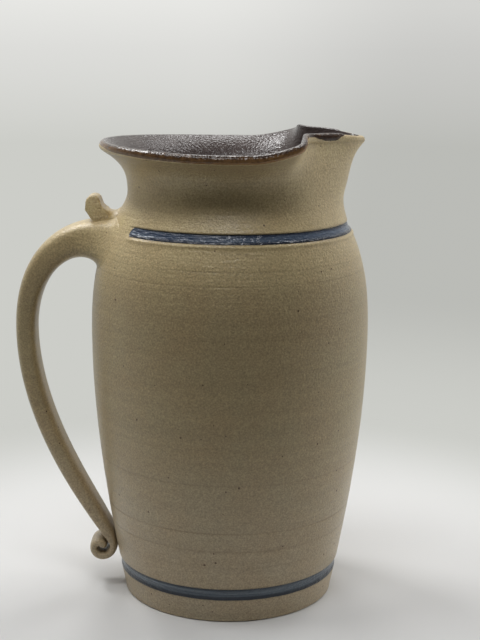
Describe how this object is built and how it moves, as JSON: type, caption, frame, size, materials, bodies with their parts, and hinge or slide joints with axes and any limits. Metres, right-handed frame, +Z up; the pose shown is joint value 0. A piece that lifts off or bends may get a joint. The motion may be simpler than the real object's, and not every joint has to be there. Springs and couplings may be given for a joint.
{
  "type": "stoneware pitcher",
  "caption": "Wheel-thrown salt-glazed stoneware pitcher with a pulled spout, a strap handle with thumb rest and rolled tail, dark glaze lining and blue slip bands.",
  "frame": {"origin": "centre of the flat foot, on the table", "axes": "+Z up along the throwing axis, +X towards the spout, -X towards the handle"},
  "size_m": [0.1909, 0.15, 0.2548],
  "materials": {
    "body_stoneware": "warm grey-tan salt glaze with an orange-peel texture",
    "handle_stoneware": "warm grey-tan salt glaze with an orange-peel texture",
    "thumb_rest_stoneware": "warm grey-tan salt glaze with an orange-peel texture",
    "dark_slip_glaze": "glossy dark grey-brown slip glaze",
    "foot_blue_slip": "blue slip under salt glaze",
    "shoulder_blue_slip": "blue slip under salt glaze"
  },
  "bodies": {
    "root": {"thrown_body": "body_stoneware", "liner_glaze": "dark_slip_glaze", "handle": "handle_stoneware", "thumb_rest": "thumb_rest_stoneware", "shoulder_band": "shoulder_blue_slip", "foot_band": "foot_blue_slip"}
  },
  "joints": []
}
